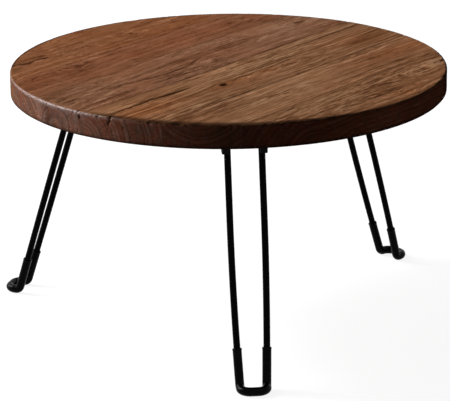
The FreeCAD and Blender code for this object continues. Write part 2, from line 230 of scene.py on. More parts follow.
def buildGrainGroup():
    tree, given, result = newGroup("oldBoardGrain", {
        "Place": (0.0, 0.0, 0.0), "Bend": 0.0, "Tone": 0.0, "Warmth": 0.0,
        "Pith Across": 0.0, "Pith Height": 0.0, "Ring Width": 0.004, "Ring Contrast": 0.6,
        "Grit": 1.0, "Streakiness": 1.0, "Run": (1.0, 1.0, 1.0), "Slide": 0.0,
        "Base": (0.19, 0.08, 0.04, 1.0),
    }, {"Colour": 4, "Relief": 1, "Rings": 1})

    def aboutZero(value):
        return calc(tree, "SUBTRACT", value, 0.5)

    def plus(total, part, weight):
        return calc(tree, "MULTIPLY_ADD", part, weight, total)

    def vectorOf(parts):
        return addNode(tree, "ShaderNodeCombineXYZ", parts).outputs[0]

    # the grain leans aside at knots, wavers slowly over a hand's width and a little over a finger's
    leaning = vectorCalc(tree, "ADD", given["Place"], vectorOf({1: given["Bend"]}))
    place = vectorCalc(tree, "ADD", leaning, vectorOf({0: given["Slide"], 1: given["Slide"]}))
    shift = None
    for stretch, amount in woodFigure["wavering"]:
        cloud = addNode(tree, "ShaderNodeTexNoise", {
            "Vector": vectorCalc(tree, "MULTIPLY", place, stretch), "Scale": 1.0, "Detail": 2.0,
        }).outputs["Color"]
        cloud = vectorCalc(tree, "MULTIPLY", vectorCalc(tree, "SUBTRACT", cloud, (0.5, 0.5, 0.5)), amount)
        shift = cloud if shift is None else vectorCalc(tree, "ADD", shift, cloud)
    # rings: a noise of the distance from the pith, in ring widths
    pith = vectorOf({1: given["Pith Across"], 2: given["Pith Height"]})
    fromPith = vectorCalc(tree, "SUBTRACT", vectorCalc(tree, "ADD", leaning, shift), pith)
    radius = vectorCalc(tree, "LENGTH", vectorCalc(tree, "MULTIPLY", fromPith, (0.0, 1.0, 1.0)))
    ringPlace = calc(tree, "DIVIDE", radius, given["Ring Width"])
    ringPlace = plus(ringPlace, given["Slide"], woodFigure["ringSlide"])
    ringNoise = {"W": ringPlace, "Scale": 1.0, "Detail": 3.0, "Roughness": 0.6}
    rings = addNode(tree, "ShaderNodeTexNoise", ringNoise, noise_dimensions="1D").outputs["Fac"]
    moved = vectorCalc(tree, "MULTIPLY", vectorCalc(tree, "ADD", place, shift), given["Run"])

    def drawnOut(stretch, detail, roughness, offset):
        spot = vectorCalc(tree, "ADD", moved, (offset, offset, 0.0)) if offset else moved
        return noise(tree, vectorCalc(tree, "MULTIPLY", spot, stretch), 1.0, detail, roughness)

    def layer(name):
        return drawnOut(*woodFigure[name])

    def hairlines(name, gate):
        # thin lines where a drawn-out noise crosses its middle value, broken up by a second noise
        stretch, width, offset = woodFigure[name]
        away = calc(tree, "ABSOLUTE", aboutZero(drawnOut(stretch, *woodFigure["lineNoise"], offset)))
        lines = span(tree, away, width, woodFigure["lineCore"] * width)
        return calc(tree, "MULTIPLY", lines, span(tree, gate, *woodFigure["lineBreaks"]))

    streaks, dashes, fibres = layer("streaks"), layer("dashes"), layer("fibres")
    veins = hairlines("veins", layer("breaks"))
    darkLines = hairlines("darkLines", dashes)
    paleLines = hairlines("paleLines", streaks)
    pores = span(tree, layer("pores"), *woodFigure["poreSpan"])
    lively = span(tree, layer("lively"), *woodFigure["livelySpan"])
    weights = woodWeights
    fine = 0.0
    for name, part in (("dashes", aboutZero(dashes)), ("fibres", aboutZero(fibres)),
                       ("darkLines", darkLines), ("paleLines", paleLines), ("pores", pores)):
        fine = plus(fine, part, weights[name])
    tone = plus(given["Tone"], fine, calc(tree, "MULTIPLY", lively, given["Grit"]))
    tone = plus(tone, aboutZero(rings), given["Ring Contrast"])
    streaky = plus(calc(tree, "MULTIPLY", veins, weights["veins"]), aboutZero(streaks), weights["streaks"])
    tone = plus(tone, streaky, given["Streakiness"])
    tone = plus(tone, aboutZero(layer("blotches")), weights["blotches"])
    # tone runs from dark through the base colour to pale, warmth from olive to red
    dark, pale = (tinted(tree, given["Base"], woodShades[name]) for name in ("dark", "pale"))
    colour = blendColours(tree, calc(tree, "MULTIPLY", tone, -weights["tone"]), given["Base"], dark)
    colour = blendColours(tree, calc(tree, "MULTIPLY", tone, weights["tone"]), colour, pale)
    warmth = plus(given["Warmth"], aboutZero(layer("patches")), weights["warmth"])
    red, olive = (tinted(tree, colour, woodShades[name]) for name in ("red", "olive"))
    reddened = blendColours(tree, warmth, colour, red)
    colour = blendColours(tree, calc(tree, "MULTIPLY", warmth, -1.0), reddened, olive)
    relief = calc(tree, "SUBTRACT", calc(tree, "ADD", rings, streaks), calc(tree, "ADD", pores, veins))
    relief = calc(tree, "SUBTRACT", plus(relief, fibres, 0.5), darkLines)
    setInputs(tree, result, {"Colour": colour, "Relief": relief, "Rings": rings})
    return tree


grainGroup = buildGrainGroup()

boardLooks = [  # pith across and height in mm from the top's centre, ring width in mm, tint of the sawn rim, which on boards 5 and 6 also paints shade on the front rim
    {"base": (0.203, 0.0775, 0.0317), "pith": (330, -190), "ring": 6.0, "contrast": 0.7, "grit": 1.0,
     "streaks": 0.65, "run": 2.4, "sawn": (0.82, 1.01, 1.38)},
    {"base": (0.203, 0.0795, 0.0372), "pith": (250, -190), "ring": 5.0, "contrast": 0.55, "grit": 0.6,
     "streaks": 0.5, "run": 2.4, "sawn": (0.80, 0.94, 1.28)},
    {"base": (0.215, 0.0934, 0.0471), "pith": (62, -31), "ring": 7.0, "contrast": 0.9, "grit": 1.1,
     "streaks": 0.75, "run": 1.5, "sawn": (0.82, 0.92, 1.25)},
    {"base": (0.234, 0.1056, 0.0478), "pith": (10, -38), "ring": 4.0, "contrast": 1.2, "grit": 1.25,
     "streaks": 0.75, "run": 1.0, "sawn": (0.82, 0.74, 1.01)},
    {"base": (0.256, 0.1157, 0.0530), "pith": (-148, 30), "ring": 4.4, "contrast": 1.0, "grit": 1.42,
     "streaks": 0.75, "run": 0.9, "sawn": (0.48, 0.39, 0.49)},
    {"base": (0.223, 0.0983, 0.0436), "pith": (-300, -60), "ring": 4.0, "contrast": 1.4, "grit": 2.1,
     "streaks": 0.8, "run": 0.9, "sawn": (0.445, 0.325, 0.40)},
]

boardFinish = {
    "facing": (0.75, 0.35),  # upward part of a face's normal, from the planed faces to the sawn rim
    "plainness": 0.65,  # how much of the planed face's figure the sawn rim lacks
    "arcSpan": (0.38, 0.62),
    "arcDark": (0.87, 0.84, 0.83),  # the rings show on the sawn rim as dark and pale arcs
    "arcPale": (1.13, 1.15, 1.18),
    "mottle": (90.0, 90.0, 50.0),  # red and grey mottling of the sawn rim, cycles a metre
    "mottleSpan": (0.35, 0.65),
    "rimRed": (1.10, 0.93, 0.87),
    "rimGrey": (0.92, 1.08, 1.16),
    # the edge where hands wore it: pale bare wood, lightened into a painted highlight on the side towards the
    # light
    "wornEdge": (0.27, 0.185, 0.16),
    "soiledEdge": (0.08, 0.055, 0.045),  # painted shade: a factor on the wood's colour
    # dark of dirt, and of painted shade on the far and lower edges
    "dirt": (0.016, 0.006, 0.0035),
    "roughness": 0.72,
    "ringGloss": -0.14,
    "specular": 0.0,
    "sheen": 0.02,
    "polish": 0.6,
    "polishRoughness": 0.38,
    "bump": 0.7,
    "bumpDepth": 0.6 * mm,
    "slide": 0.37,  # from one board's place in the noises to the next, metres
}

# the worn mark also paints a highlight, and the edge and rim marks paint light and shade
boardMarks = ("hollow", "bend", "tone", "warmth", "worn", "soiled", "shade")  # attributes of the mesh


def grainPlace(tree, coords, turn=0.0):
    # coordinates from the middle of the upper face, with x along the grain
    return addNode(tree, "ShaderNodeMapping", {
        "Vector": coords.outputs["Object"], "Location": topCentre,
        "Rotation": (0, 0, tableTop["grainAngle"] + turn),
    }, vector_type="TEXTURE").outputs[0]


def boardMaterial(number, look):
    material, tree, bsdf = newMaterial(f"oldBoard{number}")
    coords = addNode(tree, "ShaderNodeTexCoord")
    place = grainPlace(tree, coords)
    marks = {}
    for name in boardMarks:
        marks[name] = addNode(tree, "ShaderNodeAttribute", attribute_name=name).outputs["Fac"]
    grain = placeGroup(tree, grainGroup, {
        "Place": place, "Bend": marks["bend"], "Tone": marks["tone"], "Warmth": marks["warmth"],
        "Pith Across": look["pith"][0] * mm, "Pith Height": look["pith"][1] * mm,
        "Ring Width": look["ring"] * mm, "Ring Contrast": look["contrast"],
        "Grit": look["grit"], "Streakiness": look["streaks"], "Run": (look["run"], 1, 1),
        "Slide": boardFinish["slide"] * number, "Base": (*look["base"], 1),
    })
    facing = vectorCalc(tree, "DOT_PRODUCT", coords.outputs["Normal"], (0.0, 0.0, 1.0))
    side = span(tree, calc(tree, "ABSOLUTE", facing), *boardFinish["facing"])
    # the sawn rim: a third of the planed face's figure, rings as arcs, red and grey mottling, painted light and
    # shade
    sawn = blendColours(tree, boardFinish["plainness"], grain["Colour"], look["base"])
    arcs = span(tree, grain["Rings"], *boardFinish["arcSpan"])
    arcs = blendColours(tree, arcs, boardFinish["arcDark"], boardFinish["arcPale"])
    mottled = noise(tree, vectorCalc(tree, "MULTIPLY", place, boardFinish["mottle"]), 1.0, 3.0, 0.6)
    mottled = span(tree, mottled, *boardFinish["mottleSpan"])
    mottled = blendColours(tree, mottled, boardFinish["rimRed"], boardFinish["rimGrey"])
    shade = addNode(tree, "ShaderNodeCombineColor", {key: marks["shade"] for key in range(3)}).outputs[0]
    for factor in (look["sawn"], arcs, mottled, shade):
        sawn = tinted(tree, sawn, factor)
    colour = blendColours(tree, side, grain["Colour"], sawn)
    # painted shade along the upper edge
    colour = blendColours(tree, marks["soiled"], colour, tinted(tree, colour, boardFinish["soiledEdge"]))
    # pale worn edge with a painted highlight on the rim's lit side
    colour = blendColours(tree, marks["worn"], colour, boardFinish["wornEdge"])
    # dirt in cracks, knots, joints and damage, and painted shade on the far and lower edges
    colour = blendColours(tree, marks["hollow"], colour, boardFinish["dirt"])
    rough = calc(tree, "MULTIPLY_ADD", grain["Rings"], boardFinish["ringGloss"], boardFinish["roughness"])
    # a thin coat: oil on the planed faces, and the polish of hands along the edge
    polish = calc(tree, "MULTIPLY", marks["worn"], boardFinish["polish"])
    coat = calc(tree, "MULTIPLY_ADD", calc(tree, "SUBTRACT", 1.0, side), boardFinish["sheen"], polish)
    depth = boardFinish["bumpDepth"]
    relief = {"Height": grain["Relief"], "Strength": boardFinish["bump"], "Distance": depth}
    setInputs(tree, bsdf, {
        "Base Color": colour,
        "Roughness": rough,
        "Specular IOR Level": boardFinish["specular"],
        "Coat Weight": coat,
        "Coat Roughness": boardFinish["polishRoughness"],
        "Normal": addNode(tree, "ShaderNodeBump", relief).outputs[0],
    })
    return material


# Marks of age in the top, in mm along and across the grain from the middle of the table

cracks = [  # points along the crack with its strength there, half width, depth, darkness
    ([(-300, -36, 1.0), (-278, -28, 0.4), (-250, -28, 0.5), (-214, -27, 0.8), (-190, -28, 0.5),
      (-171, -29, 1.0), (-150, -30, 0.9), (-141, -31, 0.8), (-120, -31, 0.2)], 2.0, 2.2, 1.0),
    ([(-214, -24, 0.3), (-196, -23, 0.9), (-186, -20, 0.6), (-170, -17, 0.3)], 1.6, 1.2, 0.8),
    ([(-201, 53.6, 0.5), (-171, 52, 0.9), (-141, 47, 0.6), (-116, 41.6, 1.0), (-86, 39.4, 0.7),
      (-60, 39.9, 1.0), (-34, 42, 0.6), (-8, 51, 1.0), (16, 57, 0.4)], 2.1, 0.9, 0.85),
    ([(-150, 34, 0.4), (-110, 31, 0.9), (-60, 29, 0.8), (-35, 28, 0.3)], 1.6, 0.5, 0.6),
    ([(-147, 21, 0.6), (-90, 18, 1.0), (-30, 17, 0.4)], 1.5, 0.4, 0.45),
    ([(-213, -117, 0.8), (-150, -121, 1.0), (-107, -121, 0.4)], 1.6, 0.4, 0.5),
    ([(-212, -136, 0.6), (-180, -139, 1.0), (-140, -138, 0.5)], 1.5, 0.4, 0.45),
    ([(-292, 55, 0.3), (-265, 56, 1), (-243, 58, 0.4)], 1.3, 1.6, 0.8),
    ([(-290, 64, 1), (-272, 68, 0.6), (-256, 69, 1)], 2.0, 1.2, 0.8),
    ([(128, -16, 1), (150, -17.5, 0.5), (200, -17, 0.8), (288, -16, 0.5)], 2.1, 0.9, 0.8),
    ([(-154, -205, 0.3), (-132, -202, 1), (-113, -197, 0.6)], 1.5, 0.9, 0.8),
    ([(-134, -230, 0.6), (-100, -232, 0.3), (-66, -234, 0.8)], 1.4, 0.6, 0.55),
    ([(-69, -240, 0.9), (0, -238, 0.4), (68, -236, 0.9)], 1.2, 0.5, 0.5),
    ([(-188, 240, 0.8), (-173, 239, 0.7), (-163, 234, 0.9), (-152, 231, 1), (-135, 234, 0.4),
      (-122, 232, 0.9), (-104, 230, 0.4)], 3.4, 1.4, 1.0),
    ([(120, 46, 1), (136, 51, 0.7), (152, 57, 0.3)], 1.2, 0.8, 0.55),
    ([(-215, -172, 0.6), (-60, -176, 0.3), (60, -177, 0.9), (205, -178, 0.4)], 1.3, 0.5, 0.5),
    ([(-20, -46, 0.4), (30, -47, 1), (96, -46, 0.3)], 1.2, 0.4, 0.4),
    ([(-240, -96, 0.4), (-184, -101, 1.0), (-146, -104, 0.8), (-84, -105, 0.6),
      (0, -106, 0.7)], 1.9, 0.5, 0.75),
    ([(-118, -202, 0.7), (-98, -206, 1), (-80, -211, 0.5)], 1.6, 0.5, 0.5),
    ([(70, -138, 0.3), (130, -141, 1), (170, -140, 0.4)], 1.3, 0.5, 0.5),
]

knots = [  # place, half length and width, depth, darkness, how far the grain leans aside, redness
    ((-87, -59), (8.5, 4.6), 2.6, 1.0, 7, 0.9),
    ((-43, -62), (4.5, 2.2), 0.6, 0.4, 4, 0.9),
    ((2, -61), (6.5, 2.4), 0.7, 0.5, 6, 1.2),
    ((15, -66), (4.0, 1.8), 0.3, 0.4, 4, 0.8),
    ((60, -66), (12.0, 3.6), 0.1, 0.12, 6, 0.4),
    ((-12, -15), (4.5, 1.6), 0.8, 0.6, 3, 0.3),
    ((131, -112), (3.4, 1.8), 0.5, 0.4, 3, 0.3),
    ((224, 145), (7.0, 2.6), 0.6, 0.5, 5, 0.3),
    ((221, 126), (6.0, 3.0), 0.3, 0.3, 6, 0.3),
    ((248, 63), (5.0, 2.4), 0.4, 0.4, 4, 0.2),
    ((-74, 227), (7.0, 3.0), 0.3, 0.35, 6, 0.0),
    ((29, -282), (5.0, 2.4), 0.3, 0.28, 4, 0.6),
    ((-19, -219), (3.6, 1.8), 0.3, 0.25, 4, 0.4),
]

swirls = [  # where the grain bulges with no knot in sight: place, half length and width, lean
    ((18, -265), (20, 6), 14),
    ((-70, -257), (30, 7), 14),
    ((-150, 168), (16, 9), 9),
    ((205, 118), (14, 9), 8),
    ((30, 226), (18, 10), 8),
    ((120, -228), (26, 8), 13),
    ((-40, 20), (22, 7), 5),
]

streaks = [  # long pale (+) or dark (-) streaks: points, half width, tone
    ([(-120, -113), (-20, -114), (33, -116), (85, -122), (128, -123), (215, -121)], 2.4, 0.34),
    ([(-210, -184), (0, -186), (215, -184)], 2.6, 0.22),
    ([(140, -6), (183, -5), (233, -10), (292, -11)], 2.4, 0.36),
    ([(-290, -22), (-220, -20), (-150, -24)], 2.6, 0.26),
    ([(-290, 21), (-150, 14), (0, 12)], 2.2, -0.18),
    ([(-40, -9), (-14, -22), (20, -12)], 4.0, 0.22),
    ([(118, 40), (140, 48), (175, 58)], 3.6, 0.4),
    ([(-60, -52), (-20, -72), (40, -58), (90, -72)], 3.0, 0.2),
    ([(-160, -196), (-130, -208), (-80, -204)], 3.0, 0.3),
    ([(-180, -237), (-60, -246), (80, -238)], 1.8, -0.3),
    ([(-150, -256), (0, -258), (130, -254)], 1.8, -0.28),
    ([(-125, -256), (-83, -262), (-45, -265)], 2.4, 0.4),
    ([(-100, -247), (-60, -252), (-10, -256)], 2.0, 0.32),
    ([(-10, -262), (14, -271), (40, -262)], 2.0, 0.36),
    ([(-6, -256), (18, -262), (44, -255)], 1.8, 0.3),
    ([(-85, -197), (-21, -208), (43, -221), (90, -224)], 1.8, 0.26),
    ([(36, -72), (58, -73), (84, -64)], 1.8, 0.34),
    ([(40, -62), (62, -60), (84, -61)], 1.6, 0.3),
    ([(-16, -10), (-8, -12), (6, -11)], 2.0, 0.4),
    ([(216, 134), (224, 138), (240, 138)], 2.4, 0.3),
    ([(-230, -131), (-120, -134), (-20, -131)], 1.6, -0.22),
    ([(-220, -146), (-120, -143), (-40, -148)], 1.6, -0.2),
    ([(-260, -80), (-120, -86), (40, -84)], 1.8, -0.16),
    ([(-270, -96), (-160, -98), (-90, -95)], 1.4, -0.22),
    ([(-230, 190), (-140, 186), (-40, 188)], 4.0, 0.16),
    ([(-190, 172), (-100, 166), (20, 170)], 1.6, -0.14),
    ([(-100, 84), (40, 88), (160, 84)], 1.6, 0.16),
    ([(-150, 62), (-60, 60), (60, 64)], 1.6, -0.16),
    ([(-200, 30), (-80, 26), (60, 30)], 1.6, -0.14),
]

stains = [  # soft patches: place, half length and width, lighter or darker, redder or more olive
    ((111, 214), (90, 30), -0.04, 0.2),
    ((-110, 218), (80, 26), 0.05, -0.3),
    ((-205, 155), (110, 26), -0.16, 0.4),
    ((60, 150), (140, 30), -0.03, 0.4),
    ((-255, 85), (50, 40), -0.08, -0.4),
    ((232, 58), (58, 24), 0.2, -0.5),
    ((160, 25), (100, 18), 0.06, -0.3),
    ((-245, -55), (60, 26), 0.06, 0.9),
    ((10, -32), (120, 22), 0.1, -0.5),
    ((200, -68), (90, 24), -0.06, 0.5),
    ((-140, -150), (110, 36), 0.02, -0.5),
    ((170, -150), (100, 26), -0.04, 0.6),
    ((-90, -225), (120, 30), 0.04, -0.4),
    ((60, -280), (120, 18), 0.0, 0.5),
    ((-190, -45), (80, 40), -0.1, 0.1),
    ((130, -235), (90, 40), -0.11, 0.1),
]

markShape = {  # lengths in mm, cracks and streaks first, then knots
    "waver": 0.8,  # how far a line strays, and over what length
    "waverLength": 18,
    "fade": (2, 12),  # a line dies away between this far past its end and this far before it
    "swell": (0.78, 0.4),  # factor on a line's width, its middle and its swing, and over what length
    "swellLength": 14,
    "leastWidth": 0.05,
    "rimFrom": -295,  # a crack that starts out here runs through the rim
    "knotEdge": (1.25, 0.45),  # where a knot's hollow begins and is full, in half sizes
    "knotSlant": 0.12,
    "ragged": 0.22,
    "raggedSize": 0.9,  # of the knot's own half size
    "leanReach": (3.2, 5),  # how far the grain leans and reddens about a knot, in half sizes
    "redReach": (3.0, 2.4),
    "cloudiness": 0.25,  # of the tone about a knot
    "cloudSize": (1.6, 1.2),
}
markSeeds = {"cracks": 40, "knots": 140, "clouds": 170, "streaks": 300}


def alongLine(u, v, line, halfWidth, seed, openEnd=False):
    # bell curve across a wavering line, fading at its two ends
    past, before = markShape["fade"]
    mean, swing = markShape["swell"]
    stray = markShape["waver"] * ripple(u / markShape["waverLength"], 0, seed)
    middle = np.interp(u, line[:, 0], line[:, 1]) + stray
    ends = smooth(line[-1, 0] + past, line[-1, 0] - before, u)
    if not openEnd:
        ends = ends * smooth(line[0, 0] - past, line[0, 0] + before, u)
    swell = mean + swing * ripple(u / markShape["swellLength"], 0, seed + 100)
    width = halfWidth * swell * ends + markShape["leastWidth"]
    return np.exp(-((v - middle) / width) ** 2) * ends


def insideSpan(u, line):
    past = markShape["fade"][0]
    return (u > line[0, 0] - past) & (u < line[-1, 0] + past)


def topMarks(u, v):
    # depth (metres) and darkness of cracks and knots at places u, v in mm
    depth, dark = np.zeros(u.shape), np.zeros(u.shape)
    for k, (points, halfWidth, deep, black) in enumerate(cracks):
        line = np.array(points, float)
        near = insideSpan(u, line)
        openEnd = line[0, 0] < markShape["rimFrom"]
        shape = alongLine(u[near], v[near], line, halfWidth, markSeeds["cracks"] + k, openEnd)
        shape = shape * np.interp(u[near], line[:, 0], line[:, 2])
        depth[near] = np.maximum(depth[near], deep * shape)
        dark[near] = np.maximum(dark[near], black * shape)
    lump = markShape["raggedSize"]
    for k, ((u0, v0), (a, b), deep, black, _, _) in enumerate(knots):
        du, dv = u - u0, v - v0
        ragged = markShape["ragged"] * ripple(u / (lump * a), v / (lump * b), markSeeds["knots"] + k)
        away = np.hypot(du / a, (dv - markShape["knotSlant"] * du) / b) + ragged
        shape = smooth(*markShape["knotEdge"], away)
        depth = np.maximum(depth, deep * shape)
        dark = np.maximum(dark, black * shape)
    return depth * mm, dark


def leanAside(u, v, place, size, lean):
    # the grain parts at a place: aside on both sides of it, less and less further away
    (u0, v0), (a, b) = place, size
    along, across = markShape["leanReach"]
    reach = np.exp(-((u - u0) / (along * a)) ** 2 - (np.abs(v - v0) / (across * b)) ** 1.5)
    return lean * np.tanh((v - v0) / b) * reach


def grainMarks(u, v):
    # how far the grain leans aside (metres), and the tone and warmth of knots, streaks and stains
    bend, tone, warmth = np.zeros(u.shape), np.zeros(u.shape), np.zeros(u.shape)
    along, across = markShape["redReach"]
    long, wide = markShape["cloudSize"]
    for k, (place, size, _, black, lean, red) in enumerate(knots):
        (u0, v0), (a, b) = place, size
        bend -= leanAside(u, v, place, size, lean)
        around = np.exp(-((u - u0) / (along * a)) ** 2 - ((v - v0) / (across * b)) ** 2)
        warmth += red * around
        cloud = ripple(u / (long * a), v / (wide * b), markSeeds["clouds"] + k)
        tone += markShape["cloudiness"] * black * around * cloud
    for place, size, lean in swirls:
        bend -= leanAside(u, v, place, size, lean)
    for k, (points, halfWidth, shade) in enumerate(streaks):
        line = np.array(points, float)
        near = insideSpan(u, line)
        tone[near] += shade * alongLine(u[near], v[near], line, halfWidth, markSeeds["streaks"] + k)
    for (u0, v0), (a, b), shade, warm in stains:
        patch = np.exp(-((u - u0) / a) ** 2 - ((v - v0) / b) ** 2)
        tone += shade * patch
        warmth += warm * patch
    return bend * mm, tone, warmth


def rimProfile():
    # inset from the full radius and height under the top, down the rim from the top face to the
    # underside: a quarter circle, the straight side and the rubbed lower chamfer
    r, c, t = tableTop["upperEdgeRadius"], tableTop["lowerEdgeChamfer"], tableTop["thickness"]
    bend = np.linspace(0, np.pi / 2, tableTop["bendSamples"])
    side = [*np.linspace(r, t - c, tableTop["sideSamples"])[1:-2], t - c]
    inset = [*(r - r * np.sin(bend)), *np.zeros(len(side)), 0.25 * c, c]
    drop = [*(r - r * np.cos(bend)), *side, t - 0.8 * c, t]
    return np.array(inset), np.array(drop)


def boardGrid(number):
    # closed loops around the board, one for each line across the grain: over the top, down the rim,
    # back under and up the other rim
    far, near = tableTop["seams"][number] * mm, tableTop["seams"][number + 1] * mm
    angles = np.arcsin([np.clip(near / topRadius, -1, 1), np.clip(far / topRadius, -1, 1)])
    rows = int((angles[1] - angles[0]) * topRadius / tableTop["rowStep"])
    if number in (0, boardCount - 1):
        rows = int(rows * tableTop["outerRowShare"])
    turn = np.linspace(angles[0], angles[1], rows)
    # share of the rim that runs radially: none at a seam, all of it at the outer tip of a board
    tip = np.abs(turn) / (np.pi / 2)
    first, last = abs(angles[0]) / (np.pi / 2), abs(angles[1]) / (np.pi / 2)
    radial = smooth(min(first, last), 1, tip) if max(first, last) > 0.99 else np.zeros(rows)
    inset, drop = rimProfile()
    v = np.sin(turn)[:, None] * (topRadius - radial[:, None] * inset)
    u = np.sqrt(np.maximum((topRadius - inset) ** 2 - v ** 2, 0))
    across = np.linspace(-1, 1, tableTop["topSamples"])[1:-1]
    under = np.linspace(1, -1, tableTop["underSamples"])[1:-1]
    gridU = np.concatenate([u[:, :1] * across, u, u[:, -1:] * under, -u[:, ::-1]], 1)
    firstV, lastV = v[:, :1].repeat(len(across), 1), v[:, -1:].repeat(len(under), 1)
    gridV = np.concatenate([firstV, v, lastV, v[:, ::-1]], 1)
    gridDrop = np.concatenate([np.zeros(len(across)), drop, np.full(len(under), drop[-1]), drop[::-1]])
    return gridU, gridV, np.broadcast_to(gridDrop, gridU.shape)


wear = {
    "seamStrength": [0, 0.35, 0.35, 1.0, 0.9, 0.35, 0],  # how open and dirty each joint is
    "seamGape": (0.7, 0.3),  # factor on that along the joint, its middle and its swing
    "seamHalfWidth": 1.7,  # mm
    "seamDepth": 0.6 * mm,
    "seamDark": 0.75,
    "planeWaves": 0.12 * mm,  # left by a hand plane, and the fibres' own relief
    "fibreRelief": 0.06 * mm,
    "bruise": 1.1 * mm,  # chips and bruises along the upper edge
    "bruiseBand": (0.8 * mm, 2.2 * mm),  # how far in they lie, and the band's half width
    "bruiseSink": 0.4,  # how much of them also lowers the top
    "bruiseDark": 0.5,
    "chipsFrom": 0.45,
    "splitAt": -39,  # mm across the grain, where the long crack comes out through the rim
    "splitBefore": -0.2,  # metres along the grain
    "splitCourse": (0.25, 0.8, 0.9),  # mm aside for each mm down, and the swing and pace of a wave
    "splitHalfWidth": 1.5,
    "splitDepth": 1.6 * mm,
    "splitReach": 9 * mm,  # inwards from the rim
    "pitDepth": 0.9 * mm,
    "pitReach": 4 * mm,
    "holeDark": 0.95,
    "sawWaves": 0.10 * mm,
    "polishMost": 0.85,
    "soilCloud": (0.9, 0.1),  # factor along the rim, its middle and its swing
    "lowEdgeReach": 2.5 * mm,
    "lowEdgeDark": 0.8,
    # degrees around the rim, mm down, half width, half height
    "rimPits": [(218, 7, 1.8, 3.2), (196, 20, 1.2, 1.5), (231, 12, 1.0, 2.0)],
}

wearAround = {  # at degrees around the rim; Reach and Width in mm, from the edge down or inwards
    # hand polish along the upper edge, with a painted highlight in its colour on the side towards the light
    "handled": [(146, 0), (160, 0.4), (178, 0.55), (188, 0.8), (200, 1), (220, 0.85), (228, 0.35), (236, 0)],
    "handledReach": [(160, 2.6), (180, 3.2), (190, 4.0), (200, 6.0), (240, 6.0)],
    # painted shade along the upper edge, where its rounding turns away from the light
    "soiled": [(0, 1), (140, 1), (162, 0.3), (170, 0), (216, 0), (224, 0.7), (231, 0.85), (240, 0.95),
               (270, 1), (292, 0.95), (330, 0.8), (345, 1), (360, 1)],
    "soiledWidth": [(0, 3), (30, 4), (60, 6), (140, 7), (160, 5), (214, 8), (222, 16), (231, 20),
                    (245, 17.5), (257, 19.5), (269, 15), (283, 11), (299, 6), (316, 4), (332, 2), (345, 3),
                    (360, 3)],
    # painted shade on the far edge's rounding, where it faces the light
    "grimy": [(0, 0.8), (146, 0.8), (166, 0.5), (172, 0), (336, 0), (345, 0.8), (360, 0.8)],
    "grimyWidth": [(0, 3.2), (30, 4), (60, 6), (146, 6), (166, 4), (336, 3.2), (360, 3.2)],
    # painted light and shade: a factor on the sawn side's colour, lighter or darker around the rim as the light
    # falls
    "shade": [(0, 0.8), (20, 1), (160, 1.1), (190, 1.15), (196, 1.3), (201, 1.5), (205, 0.75), (209, 1.15),
              (216, 1.45), (224, 1.3), (230, 1.6), (236, 1.3), (244, 2.0), (250, 1.5), (257, 0.9),
              (263, 1.15), (275, 1.25), (286, 1.45), (304, 1.9), (316, 1.7), (322, 1.8), (328, 1.9),
              (336, 0.9), (360, 0.8)],
}

wearRipples = {  # metres along and across the grain, or along and down the rim, and the seed
    "seams": (0.11, 1.0, 5),
    "planeWaves": (0.16, 0.05, 11),
    "fibreRelief": (0.05, 0.0035, 21),
    "chips": (0.010, 0.02, 31),
    "saw": (0.05, 0.01, 33),
    "polish": (0.007, 0.003, 35),
    "soil": (0.02, 1.0, 36),
}

wearFades = {  # where each kind is gone and where it is full: metres, or shares of its own reach
    "top": (4.5 * mm, 0.5 * mm),
    "rim": (12 * mm, 1 * mm),
    "lowEdge": (3.5 * mm, 1.0 * mm),
    "bruiseDown": (6.5 * mm, 1.5 * mm),
    "bruiseDark": (0.15, 0.5),
    "splitDown": (15 * mm, 4 * mm),
    "pit": (1.3, 0.3),
    "polishIn": (0.57, 0.23),
    "polishDown": (1, 0.5),
    "polishGaps": (0.75, 0.25),
    "soilIn": (1.05, 0.3),
    "soilDown": (3.0 * mm, 0.8 * mm),
    "grimeIn": (1, 0.6),
    "grimeDown": (6 * mm, 2 * mm),
}


def aroundRim(name, degrees):
    return np.interp(degrees, *np.transpose(wearAround[name]))


def rippled(name, x, y, more=0):
    lengthX, lengthY, seed = wearRipples[name]
    return ripple(x / lengthX, y / lengthY, seed + more)


def fading(name, value):
    return smooth(*wearFades[name], value)


def seamBow(number, u, v):
    # how far the board's joints bow, in mm: a parabola along each, blended across the board
    far, near = tableTop["seams"][number], tableTop["seams"][number + 1]
    bowFar, bowNear = tableTop["seamBow"][number], tableTop["seamBow"][number + 1]
    share = np.clip((v / mm - near) / (far - near), 0, 1)
    return (bowNear * (1 - share) + bowFar * share) * ((u / topRadius) ** 2 - 0.3)


def seamGroove(number, u, v):
    # a bell curve across each joint of the board, stronger and weaker along it
    groove = np.zeros(u.shape)
    mean, swing = wear["seamGape"]
    for edge in (number, number + 1):
        if 0 < edge < boardCount:
            gape = wear["seamStrength"][edge] * (mean + swing * rippled("seams", u, 0, edge))
            away = (v / mm - tableTop["seams"][edge]) / wear["seamHalfWidth"]
            groove = np.maximum(groove, gape * np.exp(-away ** 2))
    return groove


